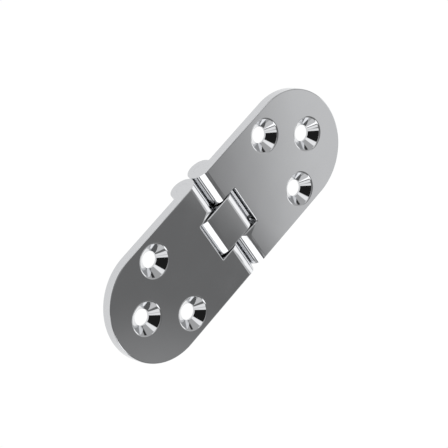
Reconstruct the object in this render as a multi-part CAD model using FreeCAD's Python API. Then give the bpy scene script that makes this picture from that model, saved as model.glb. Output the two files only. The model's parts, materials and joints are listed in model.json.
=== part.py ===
import FreeCAD, Part
import math
import os

# Flush hinge for a drop leaf table. Two round-ended leaves lie flat in line, and each
# turns on its own pin in a short centre link, so that the leaves fold face to face.
# X runs along the open hinge, from the fixed leaf to the flap leaf, Y runs along the
# pins and Z points up out of the table top. The origin is under the middle of the
# joint, level with the bottoms of the barrels. All sizes are in millimetres.

Vector = FreeCAD.Vector
Y_AXIS = Vector(0, 1, 0)
Z_AXIS = Vector(0, 0, 1)

# Leaves
hinge_length = 80.0
hinge_width = 28.6
plate_thickness = 2.6
rim_round = 0.3

# Barrels at the joint, level with the top face and standing out below the plates
barrel_radius = 3.1
barrel_gap = 0.2
barrel_root_round = 0.4

# Pins, pressed into the leaves with their ends ground flush, and running in the link
pin_radius = 1.5
pin_running_gap = 0.05

# Centre link and the slot that it turns in
link_width = 10.4
link_edge_chamfer = 0.3
link_side_gap = 0.3
link_end_gap = 0.2
slot_corner_round = 0.4
slot_buffed_width = 2.8
slot_buffed_depth = 0.8

# Heels of the link, which bear in recesses under the plates and stop the hinge when it is flat
heel_reach = 1.3
heel_round = 2.0
heel_stop_gap = 0.05
heel_recess_depth = 0.4
heel_recess_gap = 0.3

# Countersunk screw holes, a pair across each leaf and one near its round end
screw_side_inset = 5.5
screw_pair_end_inset = 19.2
end_screw_inset = 9.2
screw_bore_radius = 2.0
countersink_radius = 4.05
countersink_angle = 90.0
countersink_lip = 0.25

# Places that follow from the sizes above
half_width = hinge_width / 2
top_z = 2 * barrel_radius
underside_z = top_z - plate_thickness
pin_x = barrel_radius + barrel_gap / 2
pin_z = barrel_radius
slot_half = link_width / 2 + link_side_gap
slot_end_x = pin_x + barrel_radius + link_end_gap
heel_x = slot_end_x + heel_reach
heel_recess_z = underside_z + heel_recess_depth
heel_z = heel_recess_z - heel_stop_gap
screw_pair_x = hinge_length / 2 - screw_pair_end_inset
screw_pair_y = half_width - screw_side_inset
end_screw_x = hinge_length / 2 - end_screw_inset

# Room by which a cutter passes the surface that it cuts through
overcut = 1.0
SAME = 1e-6


def line(start, end):
    """Straight edge between two points."""
    return Part.LineSegment(start, end).toShape()


def arc(start, middle, end):
    """Circular edge through three points."""
    return Part.Arc(start, middle, end).toShape()


def polygon(points):
    """Straight edges that join the points in order."""
    return [line(start, end) for start, end in zip(points, points[1:])]


def edges_where(shape, test):
    """Edges whose middle passes the test."""
    return [edge for edge in shape.Edges if test(edge.CenterOfMass)]


def round_ended_block():
    """Outline of the fixed leaf, as deep as the barrels, with a soft top rim."""
    end_centre_x = half_width - hinge_length / 2
    front_joint = Vector(0, -half_width, 0)
    back_joint = Vector(0, half_width, 0)
    front_bend = Vector(end_centre_x, -half_width, 0)
    back_bend = Vector(end_centre_x, half_width, 0)
    end_tip = Vector(-hinge_length / 2, 0, 0)
    outline = Part.Wire([
        line(front_joint, back_joint),
        line(back_joint, back_bend),
        arc(back_bend, end_tip, front_bend),
        line(front_bend, front_joint),
    ])
    block = Part.Face(outline).extrude(Z_AXIS * top_z)
    rim = edges_where(block, lambda middle: middle.z > top_z - SAME and middle.x < -SAME)
    return block.makeFillet(rim_round, rim)


def plate_and_barrel():
    """Side profile of the fixed leaf drawn right across it: flat plate, barrel and rounded root."""
    front_y = -half_width - overcut
    far_x = -hinge_length / 2 - overcut
    root_rise = underside_z - barrel_root_round - pin_z
    root_run = math.sqrt((barrel_radius + barrel_root_round) ** 2 - root_rise ** 2)
    axis = Vector(-pin_x, front_y, pin_z)
    root_centre = axis + Vector(-root_run, 0, root_rise)
    to_barrel = (axis - root_centre).normalize()
    to_hollow = (to_barrel + Z_AXIS).normalize()
    root_on_barrel = root_centre + to_barrel * barrel_root_round
    root_hollow = root_centre + to_hollow * barrel_root_round
    root_on_plate = root_centre + Z_AXIS * barrel_root_round
    barrel_top = axis + Z_AXIS * barrel_radius
    barrel_bottom = axis - Z_AXIS * barrel_radius
    plate_edges = polygon([
        root_on_plate,
        Vector(far_x, front_y, underside_z),
        Vector(far_x, front_y, top_z),
        barrel_top,
    ])
    profile = Part.Wire(plate_edges + [
        arc(barrel_top, barrel_bottom, root_on_barrel),
        arc(root_on_barrel, root_hollow, root_on_plate),
    ])
    return Part.Face(profile).extrude(Y_AXIS * (hinge_width + 2 * overcut))


def link_slot():
    """Cutter for the slot that the link turns in, with round inner corners."""
    slot = Part.makeBox(
        slot_end_x,
        2 * slot_half,
        top_z + 2 * overcut,
        Vector(-slot_end_x, -slot_half, -overcut),
    )
    inner_corners = edges_where(
        slot, lambda middle: middle.x < -slot_end_x + SAME and abs(middle.y) > slot_half - SAME)
    return slot.makeFillet(slot_corner_round, inner_corners)


def heel_recess():
    """Cutter for the shallow seat of the link's heel, behind the slot in the underside."""
    length = heel_reach + heel_recess_gap
    corner = Vector(-slot_end_x - length, -slot_half, 0)
    return Part.makeBox(length + slot_corner_round, 2 * slot_half, heel_recess_z, corner)


def buffed_slot_edge():
    """Cutter that rolls off one top edge of the slot, from nothing at its end to most at the joint."""
    start = Part.Vertex(Vector(-slot_end_x + slot_corner_round, slot_half, top_z))
    radius = (slot_buffed_width ** 2 + slot_buffed_depth ** 2) / (2 * slot_buffed_depth)
    centre = Vector(0, slot_half + slot_buffed_width, top_z - radius)
    on_wall = Vector(0, slot_half, top_z - slot_buffed_depth)
    on_top = Vector(0, centre.y, top_z)
    to_round = (on_wall + on_top - centre * 2).normalize()
    on_round = centre + to_round * radius
    waste = polygon([
        on_top,
        on_top + Z_AXIS * overcut,
        Vector(0, slot_half - overcut, top_z + overcut),
        on_wall - Y_AXIS * overcut,
        on_wall,
    ])
    section = Part.Wire([arc(on_wall, on_round, on_top)] + waste)
    return Part.makeLoft([start, section], True, True)


def pin_bore(x, radius):
    """Cutter for a pin hole right across the hinge."""
    start = Vector(x, -half_width - overcut, pin_z)
    return Part.makeCylinder(radius, hinge_width + 2 * overcut, start, Y_AXIS)


def screw_hole(x, y):
    """Cutter for a countersunk hole, with a shallower cone that breaks the lip."""
    slope = math.radians(90 - countersink_angle / 2)
    lip_radius = countersink_radius + countersink_lip
    cone_radius = countersink_radius - countersink_lip * math.cos(slope)
    cone_z = top_z - countersink_lip * math.sin(slope)
    bore_z = top_z - (countersink_radius - screw_bore_radius) * math.tan(slope)

    def point(radius, z):
        return Vector(x + radius, y, z)

    profile = Part.Face(Part.Wire(polygon([
        point(0, underside_z - overcut),
        point(screw_bore_radius, underside_z - overcut),
        point(screw_bore_radius, bore_z),
        point(cone_radius, cone_z),
        point(lip_radius, top_z),
        point(lip_radius, top_z + overcut),
        point(0, top_z + overcut),
        point(0, underside_z - overcut),
    ])))
    return profile.revolve(Vector(x, y, 0), Z_AXIS, 360)


def fixed_leaf():
    """One casting: plate and barrels, cut for the link, the screws and the pin."""
    casting = plate_and_barrel().common(round_ended_block())
    casting = casting.cut([link_slot(), heel_recess()])
    casting = casting.cut(buffed_slot_edge())
    screw_holes = [screw_hole(-screw_pair_x, side * screw_pair_y) for side in (-1, 1)]
    screw_holes.append(screw_hole(-end_screw_x, 0))
    casting = casting.cut(screw_holes)
    return casting.cut(pin_bore(-pin_x, pin_radius))


def turned_end_for_end(shape):
    """The same piece at the other side of the joint."""
    turned = shape.copy()
    turned.rotate(Vector(0, 0, 0), Z_AXIS, 180)
    return turned


def centre_link():
    """Block with round ends about the pins, a flush flat top and a heel under each plate."""
    front_y = -link_width / 2
    round_x = pin_x + math.sqrt(barrel_radius ** 2 - (heel_z - pin_z) ** 2)
    diagonal = barrel_radius * math.sqrt(0.5)

    def point(x, z):
        return Vector(x, front_y, z)

    def round_end(side):
        return arc(
            point(side * pin_x, top_z),
            point(side * (pin_x + diagonal), pin_z + diagonal),
            point(side * round_x, heel_z),
        )

    under = polygon([
        point(round_x, heel_z),
        point(heel_x, heel_z),
        point(heel_x, 0),
        point(-heel_x, 0),
        point(-heel_x, heel_z),
        point(-round_x, heel_z),
    ])
    top = line(point(-pin_x, top_z), point(pin_x, top_z))
    profile = Part.Face(Part.Wire([top, round_end(1)] + under + [round_end(-1)]))
    block = profile.extrude(Y_AXIS * link_width)
    noses = edges_where(block, lambda middle: abs(middle.x) > heel_x - SAME and abs(middle.z) < SAME)
    block = block.makeFillet(heel_round, noses)
    shoulders = edges_where(
        block, lambda middle: abs(middle.y) > link_width / 2 - SAME and middle.z > heel_z + SAME)
    block = block.makeChamfer(link_edge_chamfer, shoulders)
    bore_radius = pin_radius + pin_running_gap
    return block.cut([pin_bore(side * pin_x, bore_radius) for side in (-1, 1)])


def fixed_leaf_pin():
    """Plain pin right across the leaf, ground flush with its sides."""
    return Part.makeCylinder(pin_radius, hinge_width, Vector(-pin_x, -half_width, pin_z), Y_AXIS)


leaf = fixed_leaf()
pin = fixed_leaf_pin()
nodes = {
    "fixed_leaf": leaf,
    "fixed_leaf_pin": pin,
    "flap_leaf": turned_end_for_end(leaf),
    "flap_leaf_pin": turned_end_for_end(pin),
    "centre_link": centre_link(),
}

os.makedirs("parts", exist_ok=True)
for name, shape in nodes.items():
    shape.exportStep("parts/" + name + ".step")
    state = "valid" if shape.isValid() else "not valid"
    print(name, state, len(shape.Solids), "solid", round(shape.Volume, 2), "mm3")
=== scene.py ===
import json
import math
from collections import namedtuple
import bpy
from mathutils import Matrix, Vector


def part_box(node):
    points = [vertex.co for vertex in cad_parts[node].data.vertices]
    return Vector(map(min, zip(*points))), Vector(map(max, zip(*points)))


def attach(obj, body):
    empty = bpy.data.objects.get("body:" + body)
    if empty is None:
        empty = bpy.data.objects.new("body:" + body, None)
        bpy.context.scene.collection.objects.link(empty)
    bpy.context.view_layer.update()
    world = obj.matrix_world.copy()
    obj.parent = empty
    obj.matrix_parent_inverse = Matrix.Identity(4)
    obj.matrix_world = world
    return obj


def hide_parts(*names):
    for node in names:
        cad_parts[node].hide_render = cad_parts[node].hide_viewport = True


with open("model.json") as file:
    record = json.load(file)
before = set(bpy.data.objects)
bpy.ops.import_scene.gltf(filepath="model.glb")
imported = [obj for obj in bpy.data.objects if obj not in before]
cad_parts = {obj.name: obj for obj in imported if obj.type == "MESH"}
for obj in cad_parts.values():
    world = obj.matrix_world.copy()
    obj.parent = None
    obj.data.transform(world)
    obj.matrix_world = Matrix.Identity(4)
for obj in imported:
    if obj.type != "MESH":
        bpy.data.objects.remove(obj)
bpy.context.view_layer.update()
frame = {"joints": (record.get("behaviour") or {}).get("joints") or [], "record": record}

from types import SimpleNamespace

import bmesh
import bpy
from mathutils import Matrix, Quaternion, Vector

bl_info = {
    "name": "Drop leaf table hinge",
    "version": (1, 0, 0),
    "blender": (4, 5, 0),
    "location": "View3D > Sidebar > Hinge",
    "description": "Models a polished chrome flush hinge around its construction",
    "category": "Add Mesh",
}

# Places and sizes that the construction gives, in metres
LEAF_LOW, LEAF_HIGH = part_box("fixed_leaf")
LINK_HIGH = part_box("centre_link")[1]
PIN_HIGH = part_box("fixed_leaf_pin")[1]
PIVOT = Vector(next(joint["pos_m"] for joint in frame["joints"] if joint["name"] == "flap_pivot"))
MOUNTS = {mount["name"]: mount for mount in frame["record"]["mounts"]}
SEAT = Vector(MOUNTS["flap_leaf_seat"]["pos_m"])
SCREW_PAIR = MOUNTS["flap_leaf_screw_pair"]
END_SCREW = MOUNTS["flap_leaf_end_screw"]

# Pieces are modelled on a bench in millimetres, where the operators' own tolerances are fine
# enough, and are then brought down to metres
MM = 0.001
X_AXIS = Vector((1, 0, 0))
Y_AXIS = Vector((0, 1, 0))
Z_AXIS = Vector((0, 0, 1))

# Room by which a cutter passes what it cuts, how near to a plane a point counts as on it, and how
# close together points are merged, in millimetres
OVERCUT = 1.0
SAME = 0.001
WELD = 0.0005

# A face looks along an axis if the part of its normal along it is larger than this
FACING = 0.999

# Facets along the round forms
BARREL_STEPS = 160
LINK_END_STEPS = 40
END_STEPS = 144
HOLE_STEPS = 144
BORE_STEPS = 96
HEEL_STEPS = 16
BUFF_STEPS = 16
EDGE_STEPS = 8
CORNER_STEPS = 6
PIN_EDGE_STEPS = 3

# Slope of the countersinks, the bevel profile that is an arc, and the widest angle between facets
# that shade as one round
COUNTERSINK_SLOPE = math.radians(45)
ARC_PROFILE = 0.5
SMOOTH_ANGLE = math.radians(30)

# An arc of an outline: turned about a centre, right-handed about the outline's axis
Turn = namedtuple("Turn", "centre degrees steps")


def hex_to_linear(code):
    """Linear RGBA of an sRGB hex colour."""
    channels = [int(code[start:start + 2], 16) / 255 for start in (1, 3, 5)]
    linear = [c / 12.92 if c <= 0.04045 else ((c + 0.055) / 1.055) ** 2.4 for c in channels]
    return (*linear, 1.0)


def length(name, description, default):
    """A size in metres that a user can change."""
    return bpy.props.FloatProperty(
        name=name, description=description, default=default, min=0, precision=5, unit="LENGTH")


def offset(name, description, default):
    """A place along an axis, in metres to either side, that a user can change."""
    return bpy.props.FloatProperty(
        name=name, description=description, default=default, precision=5, unit="LENGTH")


def angle(name, description, degrees):
    """An angle that a user can change."""
    return bpy.props.FloatProperty(
        name=name, description=description, default=math.radians(degrees), subtype="ANGLE")


def colour(name, description, code):
    """A colour that a user can change."""
    return bpy.props.FloatVectorProperty(
        name=name, description=description, default=hex_to_linear(code), size=4, min=0, max=1,
        subtype="COLOR")


class HingeSizes(bpy.types.PropertyGroup):
    """Sizes of the hinge's pieces."""
    half_length: length("Half length", "From the joint to a round end", -LEAF_LOW.x)
    half_width: length("Half width", "From the middle to a side", LEAF_HIGH.y)
    top: length("Show face", "Height of the show face above the barrels' bottoms", LEAF_HIGH.z)
    underside: length("Underside", "Height of the plates' underside", SEAT.z)
    rim_round: length("Rim round", "Radius of the rims", 0.3 * MM)
    pin_x: length("Pin offset", "From the joint to a pin", PIVOT.x)
    pin_z: length("Pin height", "Height of the pins, and radius of the barrels", PIVOT.z)
    pin_radius: length("Pin radius", "Radius of the pins", 1.5 * MM)
    pin_reach: length("Pin reach", "From the middle to a pin's end", PIN_HIGH.y)
    pin_end_round: length("Pin end round", "Broken edge of the pins' flush ends", 0.03 * MM)
    pin_running_gap: length("Running gap", "Radial room of a pin in the link", 0.05 * MM)
    barrel_root_round: length("Barrel root", "Hollow between a barrel and its plate", 0.4 * MM)
    link_half_width: length("Link half width", "From the middle to the link's side", LINK_HIGH.y)
    link_edge_round: length("Link edge", "Radius of the link's side edges", 0.3 * MM)
    heel_x: length("Heel reach", "From the joint to a heel's end", LINK_HIGH.x)
    heel_round: length("Heel round", "Radius under a heel's end", 2.0 * MM)
    heel_stop_gap: length("Heel gap", "Room between a heel and its recess", 0.05 * MM)
    heel_recess_depth: length("Heel recess", "Depth of the heels' recesses", 0.4 * MM)
    heel_recess_gap: length("Recess room", "Room past a heel's end", 0.3 * MM)
    slot_side_gap: length("Slot side gap", "Room beside the link", 0.3 * MM)
    slot_end_gap: length("Slot end gap", "Room past the link's round end", 0.2 * MM)
    slot_corner_round: length("Slot corner", "Radius of the slot's inner corners", 0.4 * MM)
    slot_edge_round: length("Slot edge", "Radius of the slot's top edges", 0.25 * MM)
    slot_buffed_width: length("Buffed width", "Width of a buffed slot edge at the joint", 2.8 * MM)
    slot_buffed_depth: length("Buffed depth", "Depth of a buffed slot edge at the joint", 0.8 * MM)
    screw_pair_x: length(
        "Screw pair offset", "From the joint to the screw pair", SCREW_PAIR["pos_m"][0])
    screw_pair_y: length(
        "Screw pair half spacing", "From the middle to a screw of the pair",
        SCREW_PAIR["dims"]["spacing_y_mm"] * MM / 2)
    end_screw_x: length(
        "End screw offset", "From the joint to the end screw", END_SCREW["pos_m"][0])
    screw_bore: length(
        "Screw bore", "Radius of the screw holes", END_SCREW["dims"]["r_mm"] * MM)
    countersink: length("Countersink", "Radius of the cones at the show face", 4.05 * MM)
    countersink_lip: length("Countersink lip", "Reach of the rolled lip round a cone", 0.25 * MM)


class HingeFinish(bpy.types.PropertyGroup):
    """Colours of the hinge's chrome plate and of the floor."""
    chrome: colour("Chrome", "Buffed chrome plate", "#D9DADC")
    # Darker colour of the sides and the underside: painted shade, for the floor's shade that they
    # would mirror
    dull: colour("Dull chrome", "Chrome plate on the sides, which the wheel missed", "#CBCCCE")
    floor: colour("Floor", "Plain pale floor", "#FDFDFD")


class HingeStage(bpy.types.PropertyGroup):
    """Camera of the stage."""
    azimuth: angle("Azimuth", "Direction of the camera, from X towards Y", 125.46)
    elevation: angle("Elevation", "Height of the camera above the floor", 50.09)
    roll: angle("Roll", "Turn of the camera about its own axis", 102.27)
    distance: length("Distance", "From the camera to the show face", 434.9 * MM)
    aim_x: offset("Aim along", "Point aimed at, along the hinge", -1.12 * MM)
    aim_y: offset("Aim across", "Point aimed at, along the pins", 1.08 * MM)
    lens: bpy.props.FloatProperty(
        name="Lens", description="Focal length in millimetres", default=149.85, unit="CAMERA")


def on_bench(sizes):
    """The sizes in millimetres, with those that follow from them."""
    mm = SimpleNamespace(**{name: getattr(sizes, name) / MM for name in sizes.__annotations__})
    mm.barrel_radius = mm.pin_z
    mm.slot_half = mm.link_half_width + mm.slot_side_gap
    mm.slot_end = mm.pin_x + mm.barrel_radius + mm.slot_end_gap
    mm.heel_recess = mm.underside + mm.heel_recess_depth
    mm.heel_z = mm.heel_recess - mm.heel_stop_gap
    mm.end_centre = mm.half_width - mm.half_length
    return mm


# Work on the bench

def activate(piece):
    """Make one piece the only one selected."""
    bpy.ops.object.select_all(action="DESELECT")
    piece.select_set(True)
    bpy.context.view_layer.objects.active = piece


def edit(piece):
    """Open one piece in edit mode."""
    activate(piece)
    bpy.ops.object.mode_set(mode="EDIT")


def close():
    """Leave edit mode."""
    bpy.ops.object.mode_set(mode="OBJECT")


def weld():
    """Merge the points of the open piece that meet."""
    bpy.ops.mesh.select_all(action="SELECT")
    bpy.ops.mesh.remove_doubles(threshold=WELD)


def tidy_mesh():
    """Weld the open piece and turn its faces outwards."""
    weld()
    bpy.ops.mesh.normals_make_consistent(inside=False)


def tidy_and_close():
    """Weld the open piece, turn its faces outwards and leave edit mode."""
    tidy_mesh()
    close()


def pick(piece, kind, test):
    """Select the edges or faces of the open piece that pass a test, and no others."""
    bpy.ops.mesh.select_mode(type=kind)
    bpy.ops.mesh.select_all(action="DESELECT")
    mesh = bmesh.from_edit_mesh(piece.data)
    items = {"EDGE": mesh.edges, "FACE": mesh.faces}[kind]
    found = [item for item in items if test(item)]
    if not found:
        raise RuntimeError("nothing to pick on " + piece.name)
    for item in found:
        item.select_set(True)
    mesh.select_flush_mode()
    bmesh.update_edit_mesh(piece.data)


def name_new(name):
    """Name the primitive that was just added, with its place in its mesh."""
    bpy.ops.object.transform_apply()
    bpy.context.object.name = name
    return bpy.context.object


def add_block(name, low, high):
    """A block between two corners."""
    low, high = Vector(low), Vector(high)
    bpy.ops.object.select_all(action="DESELECT")
    bpy.ops.mesh.primitive_cube_add(size=1, location=(low + high) / 2, scale=high - low)
    return name_new(name)


def add_rod(name, x, z, radius, reach):
    """A round rod along the pins' direction."""
    bpy.ops.object.select_all(action="DESELECT")
    bpy.ops.mesh.primitive_cylinder_add(
        vertices=BORE_STEPS, radius=radius, depth=2 * reach, location=(x, 0, z),
        rotation=(math.radians(90), 0, 0))
    return name_new(name)


def draw_outline(name, start, moves, axis):
    """A new piece, open in edit mode: an outline of straight runs and of turns about an axis."""
    bpy.ops.object.select_all(action="DESELECT")
    bpy.ops.mesh.primitive_plane_add(size=1, location=start)
    piece = name_new(name)
    bpy.ops.object.mode_set(mode="EDIT")
    bpy.ops.mesh.select_mode(type="VERT")
    bpy.ops.mesh.select_all(action="SELECT")
    bpy.ops.mesh.merge(type="CENTER")
    at = start
    for move in moves:
        if isinstance(move, Turn):
            turn = math.radians(move.degrees)
            # The spin operator turns left-handed about its axis
            bpy.ops.mesh.spin(steps=move.steps, angle=-turn, center=move.centre, axis=axis)
            at = move.centre + Matrix.Rotation(turn, 3, axis) @ (at - move.centre)
        else:
            bpy.ops.mesh.extrude_vertices_move(TRANSFORM_OT_translate={"value": move - at})
            at = move
    return piece


def pull_edges(reach):
    """Pull the selected edges out into faces."""
    bpy.ops.mesh.extrude_edges_move(TRANSFORM_OT_translate={"value": reach})


def pull_faces(reach):
    """Pull the selected faces out into a solid."""
    bpy.ops.mesh.extrude_region_move(TRANSFORM_OT_translate={"value": reach})


def extrude_outline(reach):
    """Fill the open outline and pull it out into a prism."""
    bpy.ops.mesh.select_all(action="SELECT")
    bpy.ops.mesh.edge_face_add()
    pull_faces(reach)


def quarter_round(radius, steps):
    """The facets of a quarter round that starts along a wall and ends square to it. Each is a pair of
    places, and a place is a distance from the wall and a distance along it."""
    turns = [math.radians(90 * step / steps) for step in range(steps + 1)]
    places = [(radius * (1 - math.cos(turn)), radius * math.sin(turn)) for turn in turns]
    return zip(places, places[1:])


def round_cap(piece, side, radius, steps):
    """Round the edge of the open piece's flat end that faces +Y or -Y, by insets that also step
    outwards."""
    pick(piece, "FACE", lambda face: face.normal.y * side > FACING)
    for (inwards, outwards), (new_inwards, new_outwards) in quarter_round(radius, steps):
        bpy.ops.mesh.inset(thickness=new_inwards - inwards, depth=new_outwards - outwards)


def cut(piece, cutter, operation="DIFFERENCE"):
    """Cut one shape out of a piece, or keep what lies in both, and throw the cutter away."""
    activate(piece)
    bpy.ops.object.modifier_add(type="BOOLEAN")
    modifier = piece.modifiers[-1]
    modifier.operation = operation
    modifier.solver = "EXACT"
    modifier.object = cutter
    bpy.ops.object.modifier_apply(modifier=modifier.name)
    bpy.data.objects.remove(cutter)


def copy_piece(piece, name):
    """A copy with its own mesh."""
    activate(piece)
    bpy.ops.object.duplicate()
    bpy.context.object.name = name
    return bpy.context.object


def bring_to_size(piece):
    """Bring a bench piece down to metres, with smooth rounds and flats that stay flat."""
    edit(piece)
    tidy_and_close()
    piece.scale = (MM, MM, MM)
    bpy.ops.object.transform_apply()
    bpy.ops.object.shade_smooth_by_angle(angle=SMOOTH_ANGLE)
    bpy.ops.object.modifier_add(type="WEIGHTED_NORMAL")
    modifier = piece.modifiers[-1]
    modifier.keep_sharp = True
    bpy.ops.object.modifier_apply(modifier=modifier.name)


def place(piece, node, body, material):
    """Let a finished piece stand for a node of the construction."""
    piece.data.materials.clear()
    piece.data.materials.append(material)
    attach(piece, body)
    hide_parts(node)


# Leaves

def plate_and_barrel(mm):
    """Side profile of the fixed leaf drawn right across it. Behind the barrel it is higher than the
    show face, which the round-ended block cuts."""
    near_y = -mm.half_width - OVERCUT
    far_x = -mm.half_length - OVERCUT
    pin = Vector((-mm.pin_x, near_y, mm.pin_z))
    root_rise = mm.underside - mm.barrel_root_round - mm.pin_z
    root_run = math.sqrt((mm.barrel_radius + mm.barrel_root_round) ** 2 - root_rise ** 2)
    root_degrees = math.degrees(math.atan2(root_rise, root_run))
    profile = draw_outline("fixed_leaf_casting", Vector((-mm.pin_x, near_y, mm.top)), [
        Turn(pin, 270 + root_degrees, BARREL_STEPS),
        Turn(pin + Vector((-root_run, 0, root_rise)), -90 - root_degrees, CORNER_STEPS),
        Vector((far_x, near_y, mm.underside)),
        Vector((far_x, near_y, mm.top + OVERCUT)),
        Vector((-mm.pin_x, near_y, mm.top + OVERCUT)),
    ], Y_AXIS)
    extrude_outline(Y_AXIS * -2 * near_y)
    tidy_and_close()
    return profile


def round_ended_block(mm):
    """Outline of the fixed leaf, deeper than the barrels: the section of its soft top rim, pulled
    along one side, spun round the far end and pulled back along the other side."""
    side_z = mm.top - mm.rim_round
    block = draw_outline("round_ended_block", Vector((0, mm.half_width, -OVERCUT)), [
        Vector((0, mm.half_width, side_z)),
        Turn(Vector((0, mm.half_width - mm.rim_round, side_z)), 90, EDGE_STEPS),
    ], X_AXIS)
    bpy.ops.mesh.select_mode(type="EDGE")
    bpy.ops.mesh.select_all(action="SELECT")
    pull_edges(X_AXIS * mm.end_centre)
    bpy.ops.mesh.spin(steps=END_STEPS, angle=-math.pi, center=(mm.end_centre, 0, 0), axis=Z_AXIS)
    pull_edges(X_AXIS * -mm.end_centre)
    weld()
    for axis, level in ((Z_AXIS, mm.top), (Z_AXIS, -OVERCUT), (X_AXIS, 0)):
        pick(block, "EDGE", lambda edge: edge.is_boundary and all(
            abs(vertex.co.dot(axis) - level) < SAME for vertex in edge.verts))
        bpy.ops.mesh.edge_face_add()
    tidy_and_close()
    return block


def slot_cutter(mm):
    """The link's slot, with round corners and a top edge that flares out in a quarter round."""
    flare = mm.slot_edge_round
    cutter = add_block(
        "slot_cutter", (-mm.slot_end, -mm.slot_half, -OVERCUT),
        (mm.slot_end, mm.slot_half, mm.top - flare))
    edit(cutter)
    pick(cutter, "EDGE", lambda edge: abs(edge.verts[0].co.z - edge.verts[1].co.z) > OVERCUT)
    bpy.ops.mesh.bevel(
        offset_type="OFFSET", offset=mm.slot_corner_round, segments=CORNER_STEPS,
        profile=ARC_PROFILE, affect="EDGES")
    pick(cutter, "FACE", lambda face: face.normal.z > FACING)
    for (reach, rise), (new_reach, new_rise) in quarter_round(flare, CORNER_STEPS):
        pull_faces(Z_AXIS * (new_rise - rise))
        wider = [(half + new_reach) / (half + reach) for half in (mm.slot_end, mm.slot_half)]
        bpy.ops.transform.resize(value=(*wider, 1), center_override=(0, 0, 0))
    pull_faces(Z_AXIS * OVERCUT)
    tidy_and_close()
    return cutter


def recess_cutter(mm):
    """The shallow seat of the link's heel, behind the slot in the underside."""
    return add_block(
        "recess_cutter",
        (-mm.heel_x - mm.heel_recess_gap, -mm.slot_half, mm.underside - OVERCUT),
        (-mm.slot_end + mm.slot_corner_round, mm.slot_half, mm.heel_recess))


def buffed_edge_cutter(mm):
    """Waste over one slot edge, rolled off from nothing at the slot's end to most at the joint."""
    width, depth = mm.slot_buffed_width, mm.slot_buffed_depth
    radius = (width ** 2 + depth ** 2) / (2 * depth)
    centre = Vector((0, mm.slot_half + width, mm.top - radius))
    outside_y = mm.slot_half - OVERCUT
    cutter = draw_outline("buffed_edge_cutter", Vector((0, mm.slot_half, mm.top - depth)), [
        Turn(centre, -math.degrees(math.asin(width / radius)), BUFF_STEPS),
        Vector((0, centre.y, mm.top + OVERCUT)),
        Vector((0, outside_y, mm.top + OVERCUT)),
        Vector((0, outside_y, mm.top - depth)),
    ], X_AXIS)
    point = Vector((mm.slot_corner_round - mm.slot_end, mm.slot_half, mm.top))
    extrude_outline(X_AXIS * point.x)
    bpy.ops.transform.resize(value=(0, 0, 0), center_override=point)
    tidy_and_close()
    return cutter


def screw_cutter(mm):
    """A countersunk hole at the origin: bore, cone and a lip that rolls over into the show face."""
    slope = COUNTERSINK_SLOPE
    lip_radius = mm.countersink + mm.countersink_lip
    lip_round = mm.countersink_lip / math.tan(slope / 2)
    lip_centre = Vector((lip_radius, 0, mm.top - lip_round))
    lip_start = lip_centre + Vector((-math.sin(slope), 0, math.cos(slope))) * lip_round
    bore_top = mm.top - (mm.countersink - mm.screw_bore) * math.tan(slope)
    cutter = draw_outline("screw_cutter", Vector((0, 0, mm.underside - OVERCUT)), [
        Vector((mm.screw_bore, 0, mm.underside - OVERCUT)),
        Vector((mm.screw_bore, 0, bore_top)),
        lip_start,
        Turn(lip_centre, math.degrees(slope), EDGE_STEPS),
        Vector((lip_radius, 0, mm.top + OVERCUT)),
        Vector((0, 0, mm.top + OVERCUT)),
    ], Y_AXIS)
    bpy.ops.mesh.select_all(action="SELECT")
    bpy.ops.mesh.spin(steps=HOLE_STEPS, angle=2 * math.pi, center=(0, 0, 0), axis=Z_AXIS)
    tidy_and_close()
    return cutter


def drill_screw_holes(casting, mm):
    """Cut the screw pair and the end screw of the fixed leaf."""
    drill = screw_cutter(mm)
    screws = [
        (-mm.screw_pair_x, mm.screw_pair_y),
        (-mm.screw_pair_x, -mm.screw_pair_y),
        (-mm.end_screw_x, 0),
    ]
    for x, y in screws:
        cutter = copy_piece(drill, "screw_cutter_copy")
        cutter.location = (x, y, 0)
        bpy.ops.object.transform_apply()
        cut(casting, cutter)
    bpy.data.objects.remove(drill)


def leaf_casting(mm):
    """The fixed leaf in one piece: plate and barrels, cut for the link, the screws and the pin."""
    casting = plate_and_barrel(mm)
    cut(casting, round_ended_block(mm), "INTERSECT")
    cut(casting, slot_cutter(mm))
    cut(casting, recess_cutter(mm))
    cut(casting, buffed_edge_cutter(mm))
    drill_screw_holes(casting, mm)
    bore_reach = mm.half_width + OVERCUT
    cut(casting, add_rod("bore_cutter", -mm.pin_x, mm.pin_z, mm.pin_radius, bore_reach))
    return casting


# Link and pins

def link_block(mm):
    """Block with round ends about the pins, a flush top and a heel under each plate."""
    near_y = mm.link_edge_round - mm.link_half_width
    shoulder = math.asin((mm.heel_z - mm.pin_z) / mm.barrel_radius)
    shoulder_x = mm.pin_x + mm.barrel_radius * math.cos(shoulder)
    end_turn = 90 - math.degrees(shoulder)
    nose = mm.heel_x - mm.heel_round

    def point(x, z):
        return Vector((x, near_y, z))

    block = draw_outline("link_block", point(-mm.pin_x, mm.top), [
        point(mm.pin_x, mm.top),
        Turn(point(mm.pin_x, mm.pin_z), end_turn, LINK_END_STEPS),
        point(mm.heel_x, mm.heel_z),
        point(mm.heel_x, mm.heel_round),
        Turn(point(nose, mm.heel_round), 90, HEEL_STEPS),
        point(-nose, 0),
        Turn(point(-nose, mm.heel_round), 90, HEEL_STEPS),
        point(-mm.heel_x, mm.heel_z),
        point(-shoulder_x, mm.heel_z),
        Turn(point(-mm.pin_x, mm.pin_z), end_turn, LINK_END_STEPS),
    ], Y_AXIS)
    extrude_outline(Y_AXIS * -2 * near_y)
    tidy_mesh()
    for side in (-1, 1):
        round_cap(block, side, mm.link_edge_round, EDGE_STEPS)
    close()
    bore = mm.pin_radius + mm.pin_running_gap
    for x in (-mm.pin_x, mm.pin_x):
        cut(block, add_rod("bore_cutter", x, mm.pin_z, bore, mm.link_half_width + OVERCUT))
    return block


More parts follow.
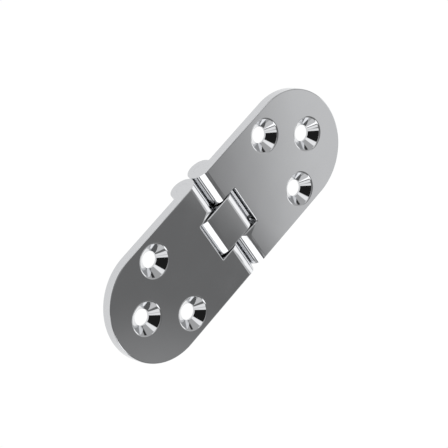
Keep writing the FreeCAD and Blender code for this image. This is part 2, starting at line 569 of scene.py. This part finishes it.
def pin_rod(name, mm, x):
    """A plain pin, flush with the barrels' ends but for its broken edges."""
    rod = add_rod(name, x, mm.pin_z, mm.pin_radius, mm.pin_reach - mm.pin_end_round)
    edit(rod)
    for side in (-1, 1):
        round_cap(rod, side, mm.pin_end_round, PIN_EDGE_STEPS)
    close()
    return rod


# Materials

# Chrome plate that was buffed on a wheel. The wheel leaves the faces that look up a mirror, with a
# faint haze and a soft waviness in what they reflect. It fades out on the sides, which are more
# satin, and the underside is as it came from the bath. The sides and the underside also get a darker
# colour,
# which is painted shade: it stands in for the floor's shade by the hinge that they would mirror.
# Roughness of the mirror, of its haziest places, and what the sides and the underside add to it
MIRROR = 0.035
HAZIEST = 0.075
SIDES_ADD = 0.08
UNDERSIDE_ADDS = 0.16

# Upright share of a face's normal where the wheel reaches fully and not at all, which is also where
# the sides' painted shade starts and is full, and where the underside's dullness starts and is full
WHEEL_FULL_NO_SHADE = 0.35
WHEEL_NONE_FULL_SHADE = 0.05
UNDERSIDE_STARTS = -0.5
UNDERSIDE_FULL = -0.9

# Size of the haze's patches, and length and height of the waves, in metres. The haze runs from clear
# to haziest between two values of its noise
HAZE_SIZE = 7 * MM
WAVE_LENGTH = 9 * MM
WAVE_HEIGHT = 0.004 * MM
HAZE_CLEAR = 0.35
HAZE_FULL = 0.75

# Places of a Mix node's sockets, whose names repeat
MIX_FACTOR = 0
MIX_A, MIX_B, MIX_RESULT = 2, 3, 0
MIX_COLOUR_A, MIX_COLOUR_B, MIX_COLOUR_RESULT = 6, 7, 2


def add_node(tree, kind, inputs=None, **settings):
    """One node with its settings; an input is a value or another node's socket."""
    node = tree.nodes.new(kind)
    for name, value in settings.items():
        setattr(node, name, value)
    for name, value in (inputs or {}).items():
        if isinstance(value, bpy.types.NodeSocket):
            tree.links.new(value, node.inputs[name])
        else:
            node.inputs[name].default_value = value
    return node


def empty_tree(owner):
    """The node tree of a new material or world, with no nodes in it yet."""
    owner.use_nodes = True
    owner.node_tree.nodes.clear()
    return owner.node_tree


def chrome_plate(name, finish):
    """Bright chrome plate, buffed on top and more satin on its sides and underneath, which also get a
    darker colour as painted shade.
    """
    material = bpy.data.materials.new(name)
    tree = empty_tree(material)
    where = add_node(tree, "ShaderNodeTexCoord")
    facing = add_node(tree, "ShaderNodeSeparateXYZ", {"Vector": where.outputs["Normal"]})
    unbuffed_and_shaded = add_node(tree, "ShaderNodeMapRange", {
        "Value": facing.outputs["Z"], "From Min": WHEEL_FULL_NO_SHADE, "From Max": WHEEL_NONE_FULL_SHADE})
    under = add_node(tree, "ShaderNodeMapRange", {
        "Value": facing.outputs["Z"], "From Min": UNDERSIDE_STARTS, "From Max": UNDERSIDE_FULL,
        "To Max": UNDERSIDE_ADDS})
    haze = add_node(tree, "ShaderNodeTexNoise", {
        "Vector": where.outputs["Object"], "Scale": 1 / HAZE_SIZE, "Detail": 3.0})
    polish = add_node(tree, "ShaderNodeMapRange", {
        "Value": haze.outputs["Fac"], "From Min": HAZE_CLEAR, "From Max": HAZE_FULL,
        "To Min": MIRROR, "To Max": HAZIEST})
    satin = add_node(tree, "ShaderNodeMath", {
        0: unbuffed_and_shaded.outputs["Result"], 1: SIDES_ADD, 2: polish.outputs["Result"],
    }, operation="MULTIPLY_ADD")
    roughness = add_node(tree, "ShaderNodeMath", {
        0: satin.outputs["Value"], 1: under.outputs["Result"]}, operation="ADD")
    # The sides and the underside take the darker colour, which is painted shade
    plate = add_node(tree, "ShaderNodeMix", {
        MIX_FACTOR: unbuffed_and_shaded.outputs["Result"], MIX_COLOUR_A: finish.chrome,
        MIX_COLOUR_B: finish.dull,
    }, data_type="RGBA")
    wave = add_node(tree, "ShaderNodeTexNoise", {
        "Vector": where.outputs["Object"], "Scale": 1 / WAVE_LENGTH, "Detail": 1.0})
    bump = add_node(tree, "ShaderNodeBump", {
        "Height": wave.outputs["Fac"], "Strength": 1.0, "Distance": WAVE_HEIGHT})
    shader = add_node(tree, "ShaderNodeBsdfPrincipled", {
        "Base Color": plate.outputs[MIX_COLOUR_RESULT], "Metallic": 1.0,
        "Roughness": roughness.outputs["Value"], "Normal": bump.outputs["Normal"]})
    add_node(tree, "ShaderNodeOutputMaterial", {"Surface": shader.outputs["BSDF"]})
    return material


# Stage

# A round patch of the studio around the hinge: what it is, its direction, how far it reaches before
# and after its soft edge, all in degrees, and its brightness. A later patch lies over an earlier one
Patch = namedtuple("Patch", "what azimuth elevation inner outer level")
STUDIO_WALLS = 0.6
STUDIO = [
    Patch("soft box along the fixed leaf's barrel", -38.5, 35, 5, 7, 1.6),
    Patch("soft box below it", -36, 28, 6, 8, 1.6),
    Patch("soft box at the foot of that barrel", -33, 16, 9, 11, 1.6),
    Patch("soft box in the fixed leaf's buffed slot edge", -58.5, 20, 9, 11, 1.6),
    Patch("soft box low in the countersinks", 70, 33, 10, 14, 1.4),
    Patch("soft box along the far rims", 38, 60, 9, 14, 1.5),
    Patch("grey screen that keeps the near rims quiet", -88, 24, 25, 28, 0.6),
    Patch("dark flag at the foot of the countersinks", 12, 9, 6, 10, 0.05),
    Patch("pale edge of the ceiling", -131, 68, 46, 53, 0.9),
    Patch("grey ceiling", -136.6, 77.6, 39.0, 43.2, 0.38),
    Patch("darker ceiling over the fixed leaf", -120.8, 52.8, 39.4, 41.0, 0.22),
    Patch("faint glow in the link", -66, 50, 0, 5, 0.42),
    Patch("soft box along the flap leaf's barrel", -120, 53, 9, 11, 2.0),
    Patch("soft box below it", -130, 47, 8, 10, 2.0),
    Patch("third soft box on that barrel", -137, 39, 7, 8.5, 2.0),
    Patch("soft box at the foot of that barrel", -142.5, 30.5, 6, 8, 2.0),
    Patch("pale wall at the top of the countersinks", -128, 15, 14, 17, 0.9),
    Patch("soft box high in the countersinks", -166, 30, 7, 10, 1.3),
    Patch("soft box beside it", 170, 36, 7, 9, 1.3),
    Patch("black flag across the countersinks", 98, 38, 9, 11, 0.02),
    Patch("black flag beside it", 115, 40, 9, 11, 0.02),
    Patch("third black flag", 135, 40, 10, 12, 0.02),
    Patch("fourth black flag", 153, 38, 9, 11, 0.02),
]

# Brightness of the floor, its side, and where the camera's view starts, in metres
FLOOR_GLOW = 1.03
FLOOR_SIZE = 4.0
CLIP_START = 10 * MM


def direction(azimuth, elevation):
    """Unit vector of a direction given in radians."""
    flat = math.cos(elevation)
    return Vector((flat * math.cos(azimuth), flat * math.sin(azimuth), math.sin(elevation)))


def light_studio():
    """Soft studio for the chrome to mirror: grey walls and a darker ceiling, with narrow soft boxes
    and dark flags."""
    world = bpy.data.worlds.new("studio")
    bpy.context.scene.world = world
    tree = empty_tree(world)
    where = add_node(tree, "ShaderNodeTexCoord")
    level = STUDIO_WALLS
    for patch in STUDIO:
        towards = direction(math.radians(patch.azimuth), math.radians(patch.elevation))
        nearness = add_node(tree, "ShaderNodeVectorMath", {
            0: where.outputs["Generated"], 1: towards}, operation="DOT_PRODUCT")
        share = add_node(tree, "ShaderNodeMapRange", {
            "Value": nearness.outputs["Value"],
            "From Min": math.cos(math.radians(patch.outer)),
            "From Max": math.cos(math.radians(patch.inner)),
        }, interpolation_type="SMOOTHSTEP")
        mix = add_node(tree, "ShaderNodeMix", {
            MIX_FACTOR: share.outputs["Result"], MIX_A: level, MIX_B: patch.level,
        }, label=patch.what)
        level = mix.outputs[MIX_RESULT]
    background = add_node(tree, "ShaderNodeBackground", {"Strength": level})
    add_node(tree, "ShaderNodeOutputWorld", {"Surface": background.outputs["Background"]})


def lay_floor(base):
    """Plain pale floor, lit evenly from below like a light table, so that it shows no shadows and the
    holes through the hinge stay white."""
    material = bpy.data.materials.new("pale_backlit_acrylic")
    tree = empty_tree(material)
    glow = add_node(tree, "ShaderNodeEmission", {"Color": base, "Strength": FLOOR_GLOW})
    add_node(tree, "ShaderNodeOutputMaterial", {"Surface": glow.outputs["Emission"]})
    bpy.ops.object.select_all(action="DESELECT")
    bpy.ops.mesh.primitive_plane_add(size=FLOOR_SIZE, location=(0, 0, 0))
    floor = bpy.context.object
    floor.name = "floor"
    floor.data.materials.append(material)


def set_camera(stage, sizes):
    """Camera at the viewing angle of the picture, with plain tones."""
    bpy.ops.object.camera_add()
    camera = bpy.context.object
    camera.name = "camera"
    back = direction(stage.azimuth, stage.elevation)
    camera.location = Vector((stage.aim_x, stage.aim_y, sizes.top)) + back * stage.distance
    camera.rotation_mode = "QUATERNION"
    camera.rotation_quaternion = back.to_track_quat("Z", "Y") @ Quaternion(Z_AXIS, stage.roll)
    camera.data.lens = stage.lens
    camera.data.clip_start = CLIP_START
    bpy.context.scene.camera = camera
    bpy.context.scene.view_settings.view_transform = "Standard"


# Operators, panel and registration

class HINGE_OT_leaves(bpy.types.Operator):
    """Model the fixed leaf and the flap leaf"""
    bl_idname = "hinge.leaves"
    bl_label = "Leaves"

    def execute(self, context):
        casting = leaf_casting(on_bench(context.scene.hinge_sizes))
        bring_to_size(casting)
        turned = copy_piece(casting, "flap_leaf_casting")
        turned.rotation_euler.z = math.pi
        bpy.ops.object.transform_apply()
        chrome = chrome_plate("leaf_chrome_plate_on_zinc", context.scene.hinge_finish)
        place(casting, "fixed_leaf", "fixed_leaf", chrome)
        place(turned, "flap_leaf", "flap_leaf", chrome)
        return {"FINISHED"}


class HINGE_OT_link(bpy.types.Operator):
    """Model the link between the leaves"""
    bl_idname = "hinge.link"
    bl_label = "Centre link"

    def execute(self, context):
        block = link_block(on_bench(context.scene.hinge_sizes))
        bring_to_size(block)
        chrome = chrome_plate("link_chrome_plate_on_zinc", context.scene.hinge_finish)
        place(block, "centre_link", "centre_link", chrome)
        return {"FINISHED"}


class HINGE_OT_pins(bpy.types.Operator):
    """Model the two hinge pins"""
    bl_idname = "hinge.pins"
    bl_label = "Pins"

    def execute(self, context):
        mm = on_bench(context.scene.hinge_sizes)
        chrome = chrome_plate("pin_chrome_plate_on_steel", context.scene.hinge_finish)
        for body, x in (("fixed_leaf", -mm.pin_x), ("flap_leaf", mm.pin_x)):
            rod = pin_rod(body + "_pin_rod", mm, x)
            bring_to_size(rod)
            place(rod, body + "_pin", body, chrome)
        return {"FINISHED"}


class HINGE_OT_stage(bpy.types.Operator):
    """Lay the floor, light the studio and set the camera"""
    bl_idname = "hinge.stage"
    bl_label = "Stage"

    def execute(self, context):
        light_studio()
        lay_floor(context.scene.hinge_finish.floor)
        set_camera(context.scene.hinge_stage, context.scene.hinge_sizes)
        return {"FINISHED"}


OPERATORS = (HINGE_OT_leaves, HINGE_OT_link, HINGE_OT_pins, HINGE_OT_stage)
GROUPS = {"hinge_sizes": HingeSizes, "hinge_finish": HingeFinish, "hinge_stage": HingeStage}


class HINGE_PT_sidebar(bpy.types.Panel):
    """Hinge pieces and their sizes"""
    bl_label = "Drop leaf table hinge"
    bl_idname = "HINGE_PT_sidebar"
    bl_space_type = "VIEW_3D"
    bl_region_type = "UI"
    bl_category = "Hinge"

    def draw(self, context):
        for operator in OPERATORS:
            self.layout.operator(operator.bl_idname)
        for group_name, group in GROUPS.items():
            box = self.layout.box()
            for name in group.__annotations__:
                box.prop(getattr(context.scene, group_name), name)


CLASSES = (*GROUPS.values(), *OPERATORS, HINGE_PT_sidebar)


def register():
    """Add the classes to Blender and their values to its scenes."""
    for cls in CLASSES:
        bpy.utils.register_class(cls)
    for name, group in GROUPS.items():
        setattr(bpy.types.Scene, name, bpy.props.PointerProperty(type=group))


def unregister():
    """Take the values and the classes away again."""
    for name in GROUPS:
        delattr(bpy.types.Scene, name)
    for cls in reversed(CLASSES):
        bpy.utils.unregister_class(cls)


def main():
    """Model the hinge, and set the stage."""
    register()
    bpy.ops.hinge.leaves()
    bpy.ops.hinge.link()
    bpy.ops.hinge.pins()
    bpy.ops.hinge.stage()


if __name__ == "__main__":
    main()
